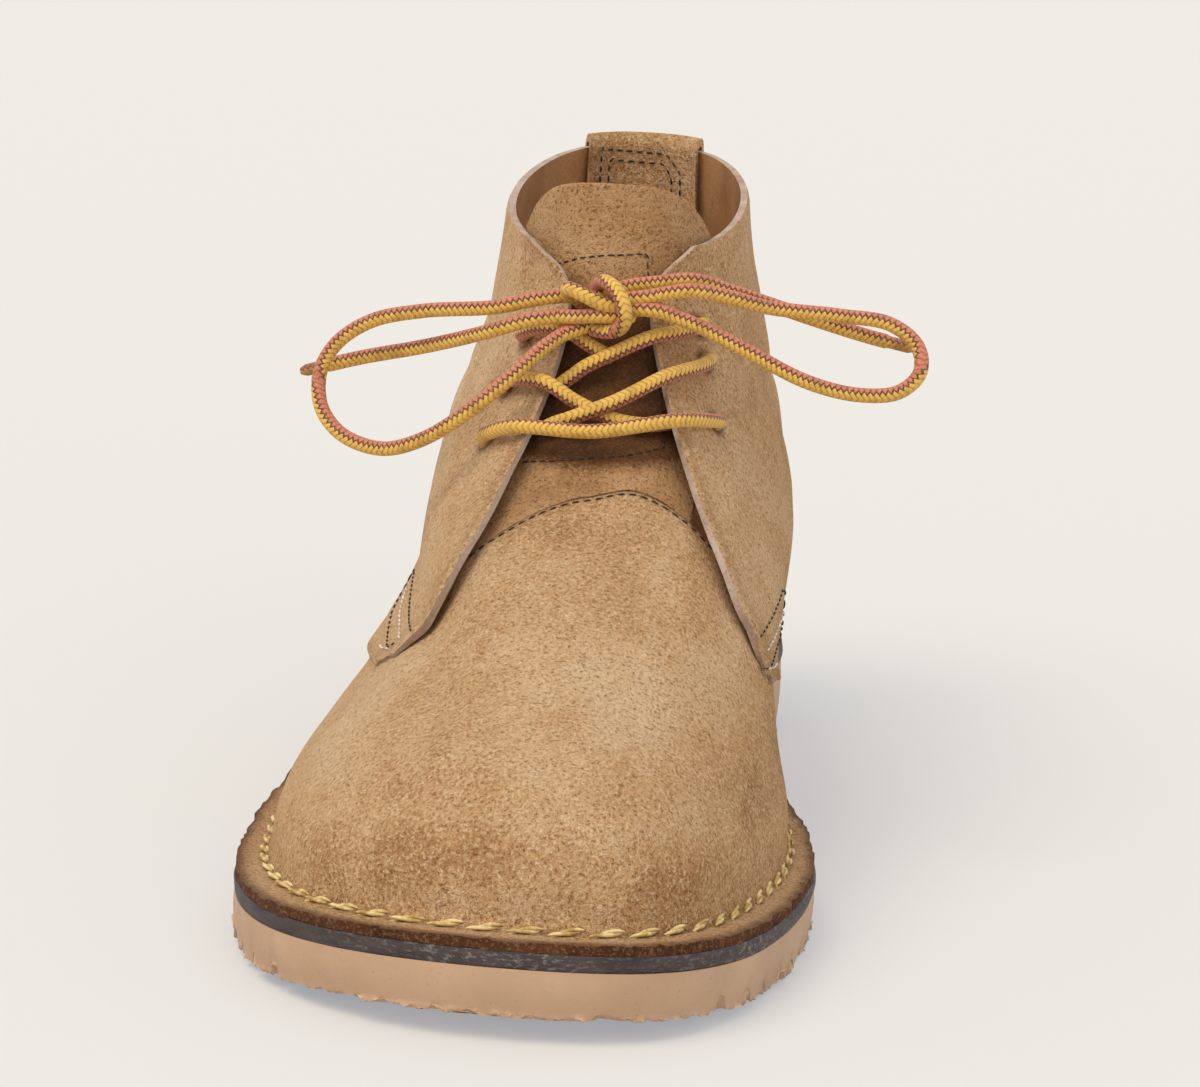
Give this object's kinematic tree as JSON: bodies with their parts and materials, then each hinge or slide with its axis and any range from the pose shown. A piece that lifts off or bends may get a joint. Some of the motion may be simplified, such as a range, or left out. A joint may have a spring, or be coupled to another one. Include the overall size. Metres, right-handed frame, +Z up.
{
  "type": "chukka boot",
  "caption": "Ankle-high tan suede lace-up boot for the right foot, stitched down to a dark midsole and a light rubber wedge sole, with a tied round lace.",
  "frame": {"origin": "on the floor, under the middle of the sole's length and width", "axes": "+Z up, -Y towards the toe, +Y towards the heel, -X towards the outer side of the right foot, +X towards the inner side"},
  "size_m": [0.1353, 0.3, 0.1373],
  "materials": {
    "suede": "rough tan suede with a short nap",
    "lining_leather": "smooth tan grain side of the upper",
    "raw_edge": "cut leather edge",
    "insole_leather": "matte leather board",
    "midsole_rubber": "dark rubber with pale specks",
    "sole_rubber": "matte light crepe rubber",
    "lace": "round braid, half gold and half terracotta",
    "welt_thread": "waxed pale yellow twisted thread",
    "dark_thread": "dark brown thread"
  },
  "bodies": {
    "root": {"outsole": "sole_rubber", "midsole": "midsole_rubber", "insole": "insole_leather", "upper": "suede", "tongue": "suede", "pull_tab": "suede", "lace_bar": "lace", "lace_crossing_lower": "lace", "lace_crossing_upper": "lace", "lace_knot": "lace", "lace_loop_lateral": "lace", "lace_end_lateral": "lace", "lace_loop_medial": "lace", "lace_end_medial": "lace"}
  },
  "joints": []
}
